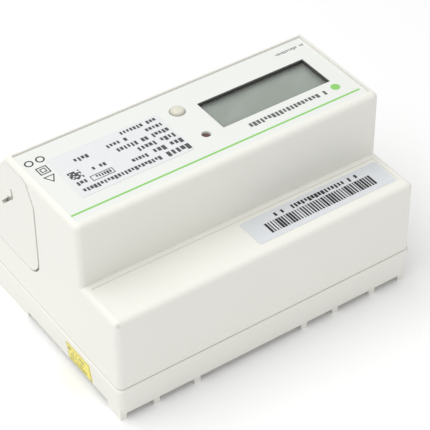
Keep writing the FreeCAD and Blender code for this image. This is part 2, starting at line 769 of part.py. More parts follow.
def terminal_screws():
    for index, x in enumerate(spread("terminal_count", "pitch", "first_terminal"), start=1):
        head = rod("head", x, SCREW_Y, "head_low", "head_radius", "head_plate")
        shaft = rod("shaft", x, SCREW_Y, "screw_tip", "shaft_radius", "head_low - screw_tip")
        slots = [block("slot", x, SCREW_Y, "head_low + head_plate - 0.9", "4.2", "0.8", "2"),
                 block("cross", x, SCREW_Y, "head_low + head_plate - 0.9", "0.8", "4.2", "2")]
        screw = cut("screw", fuse("screw_blank", [head, shaft]), slots)
        finish(screw, f"terminal_screw_{index}")
        outer = block("cage_outer", x, SCREW_Y, "cage_low", "cage_width", "cage_length", "cage_height")
        inner_size = ("cage_width - 2 * cage_wall", "cage_length + 2", "cage_height - 2.5 * cage_wall")
        inner = block("cage_inner", x, SCREW_Y, "cage_low + cage_wall", *inner_size)
        thread_size = ("shaft_radius + shaft_play", "cage_height")
        thread = rod("cage_thread", x, SCREW_Y, "cage_low + cage_height / 2", *thread_size)
        finish(cut("cage", outer, [inner, thread]), f"terminal_cage_{index}")


def signal_terminals():
    """Small block beside the main one for the pulse output and the data pair."""
    top = "(block_top - 4)"
    case = block("signal_case", SIGNAL_MIDDLE, TERMINAL_Y, "block_floor",
                 "signal_count * signal_pitch - 0.1", "block_body", f"{top} - block_floor")
    tools = []
    for index, x in enumerate(spread("signal_count", "signal_pitch", "first_signal"), start=1):
        tools.append(rod("signal_well", x, SCREW_Y, f"{top} - 3", "signal_head + 0.2", "5"))
        tools.append(rod("signal_neck", x, SCREW_Y, f"{top} - 10", "signal_head / 2 + 0.15", "9"))
        tools.append(block("signal_entry", x, f"{TERMINAL_FRONT} + 4", "entry_low + 1", "2.6", "10", "2.8"))
        head = rod("signal_screw_head", x, SCREW_Y, f"{top} - 3", "signal_head", "1.4")
        shaft = rod("signal_screw_shaft", x, SCREW_Y, f"{top} - 9", "signal_head / 2", "6")
        slot = block("signal_screw_slot", x, SCREW_Y, f"{top} - 2.2", "2.4", "0.5", "2")
        finish(cut("signal_screw", fuse("signal_blank", [head, shaft]), [slot]), f"signal_screw_{index}")
    finish(cut("signal_block", case, tools), "signal_block")


def terminal_cover():
    """Sloped cover with two cheeks that slide into the end faces of the housing."""
    body = new_body("cover_shell")
    far = "(-overall_depth / 2)"
    brow = f"({BLOCK_FAR} - fit)"
    slope_end = f"(cover_top - ({brow} - {far}))"
    points = cheek_corners("0", "0") + [(brow, "cover_top"), (far, slope_end), (far, "cover_bottom")]
    side_view = outline(body, "cover_outline", "YZ_Plane", points)
    feature(body, "Pad", "cover_solid", side_view, f"2 * {HALF_WIDTH}", True)
    round_cheek(body, "0", "0")

    def bend(edge):
        box = edge.BoundBox
        return runs_along(edge, 0) and near_to(box.YMin, far) and near_to(box.ZMin, slope_end)

    round_edges(body, "cover_bend", "edge_round", bend)
    inner_far = f"({far} + cover_wall)"
    slope_drop = "cover_wall * sqrt(2)"
    inner_points = [
        ("10", "10"),
        (inner_far, "10"),
        (inner_far, f"{slope_end} + cover_wall - {slope_drop}"),
        (brow, f"cover_top - {slope_drop}"),
        (brow, "cover_top + 5"),
        ("10", "cover_top + 5"),
    ]
    inside = outline(body, "cover_inside", "YZ_Plane", inner_points)
    feature(body, "Pocket", "cover_room", inside, f"2 * ({HALF_WIDTH} - cover_wall)", True)
    finish(cut("cover", body, tongue_gaps() + tongue_insets()), "terminal_cover")


def tongue_gaps():
    """Gap round the tongue of each cheek: a part ring at its end and a slot along its lower side."""
    items = []
    ear_y, ear_z = f"({BLOCK_FAR} + 0.2)", "(cover_top - 12.5)"
    for side in (1, -1):
        start = f"({side} * ({HALF_WIDTH} - cover_wall / 2) - cover_wall / 2 - 1)"
        ring = rod("tongue_ring", start, ear_y, ear_z, "tongue_radius + tongue_gap", "cover_wall + 2")
        ring.Angle = 150
        turn = FreeCAD.Rotation(FreeCAD.Vector(0, 0, 1), FreeCAD.Vector(1, 0, 0))
        tip = FreeCAD.Rotation(FreeCAD.Vector(0, 0, 1), -15)
        ring.Placement = FreeCAD.Placement(ring.Placement.Base, turn.multiply(tip))
        core = rod("tongue_core", f"{start} - 1", ear_y, ear_z, "tongue_radius", "cover_wall + 4", (1, 0, 0))
        items.append(cut("tongue_arc", ring, [core]))
        slot = doc.addObject("Part::Box", "tongue_slot")
        slot.setExpression("Length", bound("cover_wall + 2"))
        slot.setExpression("Width", bound("tongue_slot"))
        slot.setExpression("Height", bound("tongue_gap"))
        tilt = FreeCAD.Rotation(FreeCAD.Vector(1, 0, 0), 45)
        slot.Placement = FreeCAD.Placement(FreeCAD.Vector(), tilt)
        reach = "((tongue_radius - tongue_slot) / sqrt(2))"
        drop = "((tongue_radius + tongue_slot) / sqrt(2))"
        place(slot, start, f"{ear_y} + {reach}", f"{ear_z} - {drop} - tongue_gap")
        items.append(slot)
    return items


def tongue_insets():
    """The tongue's face lies a little deeper than the cheek around it."""
    items = []
    for side in (1, -1):
        body = new_body(f"tongue_inset_{side + 1}")
        near = f"({BLOCK_FAR} - 2.5)"
        low = f"(cover_top - 12.5 + {near} - {BLOCK_FAR})"
        far = f"({near} - 30)"
        points = [(near, low), (near, "cover_top + 5"), (far, "cover_top + 5"), (far, f"{low} - 30")]
        outside = f"{side} * {HALF_WIDTH} + {side}"
        sketch = outline(body, f"inset_outline_{side + 1}", "YZ_Plane", points, outside)
        feature(body, "Pad", f"inset_{side + 1}", sketch, "tongue_inset + 1", reverse=side > 0)
        items.append(body)
    return items


# ---------------------------------------------------------------- rail latches

def rail_latches():
    """Flat sliders whose nose reaches under the far flange of the rail."""
    for side, hand in ((1, "right"), (-1, "left")):
        x = f"{side} * latch_spacing / 2"
        low = "(rail_seat - latch_play - latch_body)"
        tail = "(-overall_depth / 2 + base_taper + 1.2)"
        head = f"({RAIL_FAR} - 0.2)"
        size = ("latch_width", f"{head} - {tail}", "latch_body")
        plate = block(f"latch_plate_{hand}", x, f"({head} + {tail}) / 2", low, *size)
        nose_y = f"({RAIL_FAR} + (lip_reach - 4) / 2)"
        nose_size = ("latch_width - 2.4", "lip_reach + 4", "lip_height - latch_play")
        nose = block(f"latch_nose_{hand}", x, nose_y, "latch_play", *nose_size)
        slot = block(f"latch_slot_{hand}", x, f"{tail} + 4", f"{low} - 1", "5", "2.4", "latch_body + 2")
        finish(cut(f"latch_{hand}", fuse(f"latch_blank_{hand}", [plate, nose]), [slot]), f"rail_latch_{hand}")


# ---------------------------------------------------------------- labels

def labels():
    type_place = ("overall_width / 2 - 32.2", "rail_center - 1.2", PANEL_TOP)
    finish(block("type_label", *type_place, "43.5", "23", "label_plate"), "type_label")
    code_y = "(overall_depth / 2 - (recess_near + recess_far) / 2 + 0.3)"
    code_size = ("58", "code_depth", "label_plate")
    code = block("code_label", "overall_width / 2 - 89.5", code_y, "step_height - recess_sunk", *code_size)
    finish(code, "code_label")
    tag = block("test_label", "0", "0", "0", "label_plate", "14.5", "8.6")
    slope = math.degrees(math.atan(value("base_taper / (base_height - rail_seat)")))
    tag.Placement = FreeCAD.Placement(FreeCAD.Vector(), FreeCAD.Rotation(FreeCAD.Vector(0, 1, 0), slope))
    inset = "(base_taper * (base_height - 3.7) / (base_height - rail_seat))"
    place(tag, f"overall_width / 2 - {inset} + 0.02", "overall_depth / 2 - 26.2 - 7.25", "3.7")
    finish(tag, "test_label")


# ---------------------------------------------------------------- build and write

STEPS = (
    base_housing,
    upper_housing,
    housing_screws,
    front_panel,
    display,
    display_board,
    pulse_light,
    push_button,
    switch,
    main_board,
    current_paths,
    terminal_block,
    terminal_screws,
    signal_terminals,
    terminal_cover,
    rail_latches,
    labels,
)
for step in STEPS:
    step()
doc.recompute()

for item in doc.Objects:
    if "Invalid" in item.State or "Error" in item.State:
        raise RuntimeError(f"{item.Name} failed: {item.State}")
for item in sub_parts:
    if item.Shape.isNull() or not item.Shape.isValid() or not item.Shape.Solids:
        raise RuntimeError(f"{item.Label} has no valid solid")

os.makedirs("parts", exist_ok=True)
for item in sub_parts:
    item.Shape.exportStep(f"parts/{item.Label}.step")
    print(f"{item.Label:22s} {len(item.Shape.Solids):2d} solids {item.Shape.Volume:9.1f} mm3")
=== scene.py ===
import json
import math

import bmesh
import bpy
from mathutils import Matrix, Vector


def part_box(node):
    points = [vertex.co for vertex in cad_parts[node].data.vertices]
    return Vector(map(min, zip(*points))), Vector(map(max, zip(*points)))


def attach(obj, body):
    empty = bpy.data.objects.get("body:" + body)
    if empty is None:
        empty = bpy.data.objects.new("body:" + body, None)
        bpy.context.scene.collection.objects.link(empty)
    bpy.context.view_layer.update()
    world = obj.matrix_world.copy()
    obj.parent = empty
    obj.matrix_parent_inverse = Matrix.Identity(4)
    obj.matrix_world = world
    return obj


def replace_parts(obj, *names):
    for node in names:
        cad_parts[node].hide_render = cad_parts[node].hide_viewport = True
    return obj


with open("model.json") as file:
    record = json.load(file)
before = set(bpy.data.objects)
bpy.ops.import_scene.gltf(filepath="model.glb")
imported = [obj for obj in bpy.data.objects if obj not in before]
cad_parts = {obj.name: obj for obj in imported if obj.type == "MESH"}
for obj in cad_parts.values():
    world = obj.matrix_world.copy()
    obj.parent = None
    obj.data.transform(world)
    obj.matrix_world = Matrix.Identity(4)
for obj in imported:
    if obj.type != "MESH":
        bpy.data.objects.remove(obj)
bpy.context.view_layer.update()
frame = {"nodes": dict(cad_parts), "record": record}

MM = 0.001
SLOTS = {part["node"]: part["material_slot"] for part in frame["record"]["subparts"]}
PRINT_THICKNESS = 0.02 * MM
FILM_CORNER = 0.8 * MM
SCATTER = (0.8 * MM, 0.6 * MM, 0.45 * MM)
EASED_ANGLE = math.radians(38)
SMOOTH_LIMIT = math.radians(44)
FLAT_LIMIT = math.radians(0.4)
WELD_DISTANCE = 1e-7


# ---------------------------------------------------------------- node trees written as expressions

class Field:
    """An output of a node tree. Arithmetic and comparisons written with it add Math nodes."""

    def __init__(self, graph, socket):
        self.graph = graph
        self.socket = socket

    def combine(self, operation, first, second):
        return self.graph.node("ShaderNodeMath", {"operation": operation}, {0: first, 1: second})

    def __add__(self, other):
        return self.combine("ADD", self, other)

    def __sub__(self, other):
        return self.combine("SUBTRACT", self, other)

    def __rsub__(self, other):
        return self.combine("SUBTRACT", other, self)

    def __mul__(self, other):
        return self.combine("MULTIPLY", self, other)

    def __lt__(self, other):
        return self.combine("LESS_THAN", self, other)

    __radd__ = __add__


class Graph:
    """A node tree. Its node() method makes any node, with its settings first and then its sockets."""

    def __init__(self, tree):
        self.tree = tree

    def node(self, kind, settings=None, sockets=None, output=0):
        item = self.tree.nodes.new(kind)
        for key, value in (settings or {}).items():
            setattr(item, key, value)
        for key, value in (sockets or {}).items():
            self.feed(item.inputs[key], value)
        return Field(self, item.outputs[output])

    def feed(self, socket, value):
        if isinstance(value, Field):
            self.tree.links.new(value.socket, socket)
        else:
            socket.default_value = value


class Finish(Graph):
    """A material around one Principled shader."""

    def __init__(self, name):
        self.material = bpy.data.materials.new(name)
        self.material.use_nodes = True
        super().__init__(self.material.node_tree)
        self.shader = self.tree.nodes["Principled BSDF"]
        self.place = self.node("ShaderNodeTexCoord", output="Object")

    def set(self, **values):
        """Feeds sockets of the shader, whose names are given with _ for each space."""
        for key, value in values.items():
            self.feed(self.shader.inputs[key.replace("_", " ")], value)

    def noise(self, size, detail=3.0, rough=0.55, stretch=(1, 1, 1)):
        """Noise whose lumps are about as large as size, in metres."""
        place = self.node("ShaderNodeMapping", {}, {"Vector": self.place, "Scale": stretch})
        sockets = {"Vector": place, "Scale": 1.0 / size, "Detail": detail, "Roughness": rough}
        return self.node("ShaderNodeTexNoise", {}, sockets)

    def apart(self, first, second):
        return self.node("ShaderNodeMath", {"operation": "ABSOLUTE"}, {0: first - second})

    def axis(self, name):
        return self.node("ShaderNodeSeparateXYZ", {}, {0: self.place}, name)

    def ramp(self, value, low, high):
        """0 below low and 1 above high, with a soft step between."""
        settings = {"interpolation_type": "SMOOTHSTEP"}
        return self.node("ShaderNodeMapRange", settings, {"Value": value, "From Min": low, "From Max": high})

    def mix(self, share, first, second):
        sockets = {0: share, 6: self.colour(first), 7: self.colour(second)}
        return self.node("ShaderNodeMix", {"data_type": "RGBA"}, sockets, 2)

    @staticmethod
    def colour(value):
        return value if isinstance(value, Field) else (*value[:3], 1.0)

    def bump(self, height, strength, distance):
        sockets = {"Height": height, "Strength": strength, "Distance": distance}
        return self.node("ShaderNodeBump", {}, sockets)

    def glow_through(self, weight):
        """Lets light spread a little way under the surface."""
        self.shader.inputs["Subsurface Weight"].default_value = weight
        self.shader.inputs["Subsurface Radius"].default_value = SCATTER
        self.shader.inputs["Subsurface Scale"].default_value = 1.0


def shade(colour, factor):
    return tuple(min(1.0, channel * factor) for channel in colour[:3])


def linear(red, green, blue):
    """A display colour from 0 to 255 as scene linear values."""
    return tuple(((c / 255 + 0.055) / 1.055) ** 2.4 if c > 10 else c / 3294.6 for c in (red, green, blue))


# ---------------------------------------------------------------- finishes

def moulded(name, colour, rough=0.5, grain=0.25, lumps=0.12, soft=0.0, rubbed=None):
    """Moulded plastic: spark-eroded grain, slow colour drift, a little dust, and a dark mark if it is rubbed."""
    finish = Finish(name)
    drift = finish.noise(28 * MM, 2.0)
    cloud = finish.noise(5 * MM, 4.0, 0.6)
    fine = finish.noise(grain * MM, 2.0, 0.5)
    dust = finish.ramp(finish.noise(0.9 * MM, 5.0, 0.7), 0.68, 0.8)
    base = finish.mix(drift, shade(colour, 0.985), shade(colour, 1.015))
    base = finish.mix(dust * 0.10, base, shade(colour, 0.72))
    if rubbed:
        ends = {0: finish.place, 1: rubbed}
        apart = finish.node("ShaderNodeVectorMath", {"operation": "DISTANCE"}, ends, "Value")
        worn = (1.0 - finish.ramp(apart, 0.35 * MM, 1.1 * MM)) * finish.ramp(fine, 0.42, 0.6)
        base = finish.mix(worn * 0.8, base, (0.12, 0.11, 0.10))
    finish.set(Base_Color=base, Roughness=rough + (cloud - 0.5) * 0.12 + (fine - 0.5) * 0.1)
    finish.set(Normal=finish.bump(fine * 0.6 + cloud * 0.4, lumps, 0.05 * MM))
    if soft:
        finish.glow_through(soft)
    return finish.material


def step_corner():
    """The near corner of the low step, beside the code label."""
    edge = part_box("upper_housing")[1]
    return edge.x - 1.1 * MM, edge.y - 0.4 * MM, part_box("code_label")[0].z - 0.6 * MM


def film(name, colour, rough=0.32):
    """Thin printed film: nearly smooth, with faint ripples and specks."""
    finish = Finish(name)
    ripple = finish.noise(3.5 * MM, 2.0)
    speck = finish.noise(0.35 * MM, 3.0)
    finish.set(Base_Color=finish.mix(ripple, shade(colour, 0.97), shade(colour, 1.03)))
    finish.set(Roughness=rough + (speck - 0.5) * 0.1)
    finish.set(Normal=finish.bump(ripple, 0.15, 0.04 * MM))
    return finish.material


def ink(name, colour, worn=0.2):
    """Printed ink with slightly uneven cover."""
    finish = Finish(name)
    patchy = finish.ramp(finish.noise(0.25 * MM, 3.0), 0.45, 0.75)
    finish.set(Base_Color=finish.mix(patchy * worn, colour, shade(colour, 2.2)))
    finish.set(Roughness=0.42 + patchy * 0.15)
    return finish.material


def metal(name, colour, rough=0.3, brush=(1, 14, 14)):
    """Plated or rolled metal with fine drawn lines and dull spots."""
    finish = Finish(name)
    lines = finish.noise(0.7 * MM, 4.0, 0.6, brush)
    spots = finish.ramp(finish.noise(1.6 * MM, 4.0), 0.5, 0.75)
    finish.shader.inputs["Metallic"].default_value = 1.0
    finish.set(Base_Color=finish.mix(spots * 0.25, colour, shade(colour, 0.55)))
    finish.set(Roughness=rough + (lines - 0.5) * 0.2 + spots * 0.15)
    finish.set(Normal=finish.bump(lines, 0.2, 0.03 * MM))
    return finish.material


def circuit_board(name):
    """Solder mask over a grid of fine tracks, with round pads."""
    finish = Finish(name)
    sockets = {"Vector": finish.place, "Scale": 1 / (18 * MM), "Mortar Size": 0.012, "Brick Width": 0.6}
    track = finish.node("ShaderNodeTexBrick", {"offset": 0.35}, sockets, "Fac")
    centres = finish.node("ShaderNodeTexVoronoi", {}, {"Vector": finish.place, "Scale": 1 / (4.5 * MM)})
    pad = centres < 0.13
    mask = finish.mix(track, (0.015, 0.12, 0.05), (0.03, 0.21, 0.09))
    finish.set(Base_Color=finish.mix(pad, mask, (0.62, 0.60, 0.55)), Metallic=pad * 0.9)
    finish.set(Roughness=0.34 + pad * 0.05, Normal=finish.bump(track + pad, 0.3, 0.04 * MM))
    return finish.material


def display_face(name):
    """Unlit display: grey-green, darkened towards its edges with painted shade from its recess, and a faint
    sheen.
    """
    finish = Finish(name)
    low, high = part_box("lcd_glass")
    middle = (low + high) / 2
    # painted shade: the face gets darker towards its edges, where the walls of its recess would shade it
    recess_shade_x = finish.ramp(finish.apart(finish.axis("X"), middle.x), 20.6 * MM, 21.8 * MM)
    recess_shade_y = finish.ramp(finish.apart(finish.axis("Y"), middle.y), 6.2 * MM, 7.4 * MM)
    edge = finish.node("ShaderNodeMath", {"operation": "MAXIMUM"}, {0: recess_shade_x, 1: recess_shade_y})
    cloud = finish.noise(9 * MM, 2.0)
    face = finish.mix(cloud, linear(122, 134, 122), linear(132, 144, 132))
    # the painted recess shade mixes the face towards a dark grey-green at its edges
    finish.set(Base_Color=finish.mix(edge * 0.5, face, linear(84, 90, 84)))
    finish.set(Roughness=0.16 + cloud * 0.06)
    return finish.material


def panel_face(name, colour):
    """Satin panel sheet whose cut edges round the display window are darkened with painted shade."""
    finish = Finish(name)
    low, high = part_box("display_window")
    sheet_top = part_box("front_panel")[1].z
    middle = (low + high) / 2
    reach = (high - low) / 2 - Vector((1, 1, 0)) * 1.45 * MM
    # the cut walls inside the window opening, which get painted shade in place of their shadow
    beside_x = finish.apart(finish.axis("X"), middle.x) < reach.x
    beside_y = finish.apart(finish.axis("Y"), middle.y) < reach.y
    edge = beside_x * beside_y
    cloud = finish.noise(24 * MM, 2.0)
    fine = finish.noise(0.16 * MM, 2.0, 0.5)
    # painted shade: the cut walls get darker the deeper they go into the opening
    depth = finish.ramp(finish.axis("Z"), sheet_top - 1.2 * MM, sheet_top)
    sheet = finish.mix(cloud, shade(colour, 0.985), shade(colour, 1.01))
    dark = finish.mix(depth, (0.03, 0.03, 0.03), (0.16, 0.16, 0.15))
    finish.set(Base_Color=finish.mix(edge, sheet, dark), Roughness=0.36 + (fine - 0.5) * 0.1)
    finish.set(Normal=finish.bump(fine, 0.06, 0.04 * MM))
    return finish.material


def milky_cap(name, colour):
    """Milky button with painted shade making it a little darker towards its outer edge than on its dome."""
    finish = Finish(name)
    low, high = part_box("push_button")
    middle = (low + high) / 2
    across = finish.apart(finish.axis("X"), middle.x)
    along = finish.apart(finish.axis("Y"), middle.y)
    radius = finish.node("ShaderNodeMath", {"operation": "SQRT"}, {0: across * across + along * along})
    # painted shade: a darker ring towards the button's outer edge, standing in for the shadow of the gap round
    # it
    ring_shade = finish.ramp(radius, 1.7 * MM, 2.7 * MM)
    cloud = finish.noise(1.5 * MM, 3.0)
    dome = finish.mix(cloud, shade(colour, 0.97), shade(colour, 1.02))
    finish.set(Base_Color=finish.mix(ring_shade * 0.8, dome, shade(colour, 0.62)), Roughness=0.3 + cloud * 0.08)
    finish.glow_through(0.15)
    return finish.material


def clear_pane(name):
    """Clear window, very slightly smeared."""
    finish = Finish(name)
    smear = finish.ramp(finish.noise(7 * MM, 4.0), 0.45, 0.7)
    finish.shader.inputs["IOR"].default_value = 1.49
    finish.set(Base_Color=finish.mix(smear, (0.93, 0.96, 0.93), (0.97, 0.98, 0.97)))
    finish.set(Roughness=0.03 + smear * 0.05, Alpha=0.10 + smear * 0.03)
    return finish.material


WHITE = linear(241, 240, 233)
FINISHES = {
    "housing": moulded("Moulded warm white", WHITE, rough=0.48, grain=0.22, lumps=0.14, rubbed=step_corner()),
    "cover": moulded("Moulded warm white cover", shade(WHITE, 0.985), rough=0.46, grain=0.22, lumps=0.14),
    "panel": panel_face("Satin front panel", linear(236, 238, 234)),
    "clear_window": clear_pane("Clear window"),
    "display": display_face("Display face"),
    "dark_plastic": moulded("Dark moulding", (0.022, 0.022, 0.025), rough=0.45, grain=0.2, lumps=0.2),
    "contact_rubber": moulded("Contact rubber", (0.06, 0.06, 0.065), rough=0.7, grain=0.12, lumps=0.3),
    "circuit_board": circuit_board("Green circuit board"),
    "light_lens": moulded("Tinted light lens", (0.14, 0.07, 0.06), rough=0.2, grain=0.4, lumps=0.05, soft=0.1),
    "button": milky_cap("Milky button", linear(226, 222, 208)),
    "grey_plastic": moulded("Grey terminal moulding", (0.13, 0.135, 0.14), rough=0.5, grain=0.2, lumps=0.2),
    "signal_plastic": moulded("Green terminal moulding", (0.02, 0.13, 0.05), rough=0.45, grain=0.2, lumps=0.2),
    "cable_foil": film("Flat cable foil", (0.62, 0.62, 0.58)),
    "winding": moulded("Lacquered core", (0.035, 0.03, 0.028), rough=0.38, grain=0.3, lumps=0.3),
    "capacitor_sleeve": film("Dark sleeve", (0.02, 0.024, 0.06), rough=0.25),
    "core_sleeve": film("Blue ring sleeve", (0.02, 0.07, 0.22), rough=0.35),
    "copper": metal("Copper strip", (0.86, 0.42, 0.26), rough=0.28),
    "steel": metal("Zinc plate", (0.62, 0.63, 0.64), rough=0.3),
    "screw_steel": metal("Nickel plate", (0.68, 0.67, 0.63), rough=0.24, brush=(14, 1, 14)),
    "cage_steel": metal("Zinc cage", (0.58, 0.58, 0.58), rough=0.32),
    "label_film": film("Cool label film", linear(222, 225, 229)),
    "yellow_film": film("Yellow label film", linear(250, 236, 96)),
    "latch_plastic": moulded("Latch moulding", shade(WHITE, 0.9), rough=0.45, grain=0.2, lumps=0.14),
}
GREY_FILM = film("Grey label film", linear(231, 232, 233), rough=0.38)
GREEN_INK = ink("Green ink", linear(142, 208, 110), worn=0.08)
BLACK_INK = ink("Black ink", (0.012, 0.012, 0.014))
GREY_INK = ink("Grey ink", (0.075, 0.075, 0.08))
SOFT_INK = ink("Soft grey ink", (0.13, 0.13, 0.13))
PALE_INK = ink("Pale ink", (0.28, 0.29, 0.29))
OLIVE_INK = ink("Olive ink", (0.20, 0.19, 0.05), worn=0.1)


# ---------------------------------------------------------------- meshes

def linked(name, data):
    """A new object in the scene."""
    thing = bpy.data.objects.new(name, data)
    bpy.context.scene.collection.objects.link(thing)
    return thing


def new_piece(name, mesh, body, slot, material=None):
    """Adds a mesh that is already in place to the object and joins it to its body."""
    piece = linked(name, mesh)
    mesh.materials.clear()
    mesh.materials.append(material or FINISHES[slot])
    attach(piece, body)
    return piece


def finished_mesh(piece):
    """The mesh with its modifiers applied, and the piece removed."""
    graph = bpy.context.evaluated_depsgraph_get()
    mesh = bpy.data.meshes.new_from_object(piece.evaluated_get(graph), depsgraph=graph)
    bpy.data.objects.remove(piece)
    return mesh


def body_of(node):
    bodies = frame["record"]["behaviour"]["bodies"]
    return next(name for name, nodes in bodies.items() if node in nodes)


def written(work, name):
    """The worked faces as a mesh."""
    mesh = bpy.data.meshes.new(name)
    work.to_mesh(mesh)
    work.free()
    return mesh


def welded(node):
    """A node's mesh with its corners welded and its flat areas joined into single faces."""
    work = bmesh.new()
    work.from_mesh(frame["nodes"][node].data)
    bmesh.ops.remove_doubles(work, verts=work.verts, dist=WELD_DISTANCE)
    bmesh.ops.dissolve_limit(work, angle_limit=FLAT_LIMIT, verts=work.verts, edges=work.edges)
    return written(work, node)


def refine(node, width):
    """Stands in for a node: the same shape with its sharp edges eased and its curves smooth."""
    piece = linked(node + "_draft", welded(node))
    ease = piece.modifiers.new("ease", "BEVEL")
    ease.width = width * MM
    ease.segments = 2
    ease.limit_method = "ANGLE"
    ease.angle_limit = EASED_ANGLE
    ease.use_clamp_overlap = True
    ease.miter_outer = "MITER_ARC"
    mesh = finished_mesh(piece)
    mesh.shade_smooth()
    mesh.set_sharp_from_angle(angle=SMOOTH_LIMIT)
    piece = linked(node + "_draft", mesh)
    level = piece.modifiers.new("level", "WEIGHTED_NORMAL")
    level.keep_sharp = True
    level.weight = 100
    skin = new_piece(node + "_skin", finished_mesh(piece), body_of(node), SLOTS[node])
    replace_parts(skin, node)


def plain_finish(node):
    """A node that keeps its own mesh gets its finish."""
    materials = frame["nodes"][node].data.materials
    materials.clear()
    materials.append(FINISHES[SLOTS[node]])


# ---------------------------------------------------------------- camera, light and floor

def aim(thing, eye, target):
    """Places a lamp and turns it towards its target."""
    thing.location = eye
    thing.rotation_euler = (Vector(target) - Vector(eye)).to_track_quat("-Z", "Y").to_euler()


def set_camera():
    eye = Vector((262.99, 392.02, 435.43)) * MM
    ahead = Vector((-0.4314, -0.62343, -0.65209)).normalized()
    right = Vector((-0.81929, 0.57335, -0.00614))
    right = (right - ahead * right.dot(ahead)).normalized()
    up = right.cross(ahead)
    camera = linked("camera", bpy.data.cameras.new("camera"))
    camera.data.lens = 149.5
    camera.data.sensor_width = 36
    camera.data.clip_start, camera.data.clip_end = 0.05, 20
    turn = Matrix((right, up, -ahead)).transposed()
    camera.matrix_world = Matrix.Translation(eye) @ turn.to_4x4()
    bpy.context.scene.camera = camera


def area_light(name, eye, size, power):
    lamp = bpy.data.lights.new(name, "AREA")
    lamp.shape = "RECTANGLE"
    lamp.size, lamp.size_y = size
    lamp.energy = power
    aim(linked(name, lamp), eye, (0, 0, 0.03))


def set_stage():
    mesh = bpy.data.meshes.new("floor")
    reach = 6.0
    corners = [(-reach, -reach, 0), (reach, -reach, 0), (reach, reach, 0), (-reach, reach, 0)]
    mesh.from_pydata(corners, [], [(0, 1, 2, 3)])
    floor = linked("floor", mesh)
    finish = Finish("Pale paper")
    finish.set(Base_Color=finish.mix(finish.noise(200 * MM, 2.0), (0.97, 0.97, 0.97), (0.99, 0.99, 0.99)))
    finish.shader.inputs["Roughness"].default_value = 0.9
    mesh.materials.append(finish.material)
    area_light("high soft box", eye=(0.45, -0.14, 1.25), size=(1.5, 1.2), power=12)
    world = bpy.data.worlds.new("bright room")
    world.use_nodes = True
    background = world.node_tree.nodes["Background"]
    background.inputs["Color"].default_value = (1, 1, 1, 1)
    background.inputs["Strength"].default_value = 0.58
    bpy.context.scene.world = world
    bpy.context.scene.view_settings.view_transform = "Standard"
    bpy.context.scene.view_settings.look = "None"


# ---------------------------------------------------------------- printed marks

def marks_tree():
    """A row of small upright blocks along +X, each with its own width and height."""
    tree = bpy.data.node_groups.new("Row of marks", "GeometryNodeTree")
    sockets = (("Count", "NodeSocketInt"), ("Pitch", "NodeSocketFloat"), ("Narrow", "NodeSocketFloat"),
               ("Wide", "NodeSocketFloat"), ("Short", "NodeSocketFloat"), ("Tall", "NodeSocketFloat"),
               ("Kept", "NodeSocketFloat"), ("Thickness", "NodeSocketFloat"), ("Seed", "NodeSocketInt"),
               ("Material", "NodeSocketMaterial"))
    tree.interface.new_socket("Geometry", in_out="OUTPUT", socket_type="NodeSocketGeometry")
    keys = {}
    for name, kind in sockets:
        keys[name] = tree.interface.new_socket(name, in_out="INPUT", socket_type=kind).identifier
    graph = Graph(tree)
    given = tree.nodes.new("NodeGroupInput")
    value = {name: Field(graph, given.outputs[name]) for name, _ in sockets}
    step = graph.node("ShaderNodeCombineXYZ", {}, {"X": value["Pitch"]})
    line = graph.node("GeometryNodeMeshLine", {}, {"Count": value["Count"], "Offset": step})
    # each random field has its own seed, so that widths and gaps don't follow each other
    chance = graph.node("FunctionNodeRandomValue", {"data_type": "FLOAT"}, {"Seed": value["Seed"]}, 1)
    gone = graph.node("FunctionNodeCompare", {"operation": "GREATER_THAN"}, {0: chance, 1: value["Kept"]})
    kept = graph.node("GeometryNodeDeleteGeometry", {}, {"Geometry": line, "Selection": gone})
    wide = random_between(graph, value["Narrow"], value["Wide"], value["Seed"] + 17)
    tall = random_between(graph, value["Short"], value["Tall"], value["Seed"] + 43)
    size = graph.node("ShaderNodeCombineXYZ", {}, {"X": wide, "Y": tall, "Z": value["Thickness"]})
    cube = graph.node("GeometryNodeMeshCube", {}, {"Size": (1, 1, 1)})
    seated = graph.node("GeometryNodeTransform", {}, {"Geometry": cube, "Translation": (0, 0.5, 0.5)})
    copies = graph.node("GeometryNodeInstanceOnPoints", {}, {"Points": kept, "Instance": seated, "Scale": size})
    solid = graph.node("GeometryNodeRealizeInstances", {}, {"Geometry": copies})
    inked = graph.node("GeometryNodeSetMaterial", {}, {"Geometry": solid, "Material": value["Material"]})
    result = tree.nodes.new("NodeGroupOutput")
    tree.links.new(inked.socket, result.inputs[0])
    return tree, keys


def random_between(graph, low, high, seed):
    return graph.node("FunctionNodeRandomValue", {"data_type": "FLOAT"}, {2: low, 3: high, "Seed": seed}, 1)


MARKS, MARK_KEYS = marks_tree()


def grown(material, **sizes):
    """The plain mesh of one row of marks."""
    piece = linked("row_draft", bpy.data.meshes.new("row_draft"))
    modifier = piece.modifiers.new("marks", "NODES")
    modifier.node_group = MARKS
    for name, size in sizes.items():
        modifier[MARK_KEYS[name]] = size
    modifier[MARK_KEYS["Thickness"]] = PRINT_THICKNESS
    modifier[MARK_KEYS["Material"]] = material
    return finished_mesh(piece)


def joined(name, parts):
    """One mesh out of (mesh, matrix) pairs."""
    work = bmesh.new()
    for mesh, matrix in parts:
        mesh.transform(matrix)
        work.from_mesh(mesh)
    bmesh.ops.recalc_face_normals(work, faces=work.faces)
    return written(work, name)


def printed(name, parts, slot, material):
    """Ink on the housing, out of (mesh, matrix) pairs."""
    new_piece(name, joined(name, parts), "housing", slot, material)


def word_row(x, y, z, length, height, seed, material):
    """Unreadable text: marks with the rhythm of words, standing on a base line."""
    pitch = height * 0.62
    count = max(2, int(length / pitch))
    mesh = grown(material, Count=count, Pitch=pitch, Narrow=pitch * 0.5, Wide=pitch * 0.86,
                 Short=height * 0.6, Tall=height, Kept=0.87, Seed=seed)
    return mesh, Matrix.Translation((x, y, z))


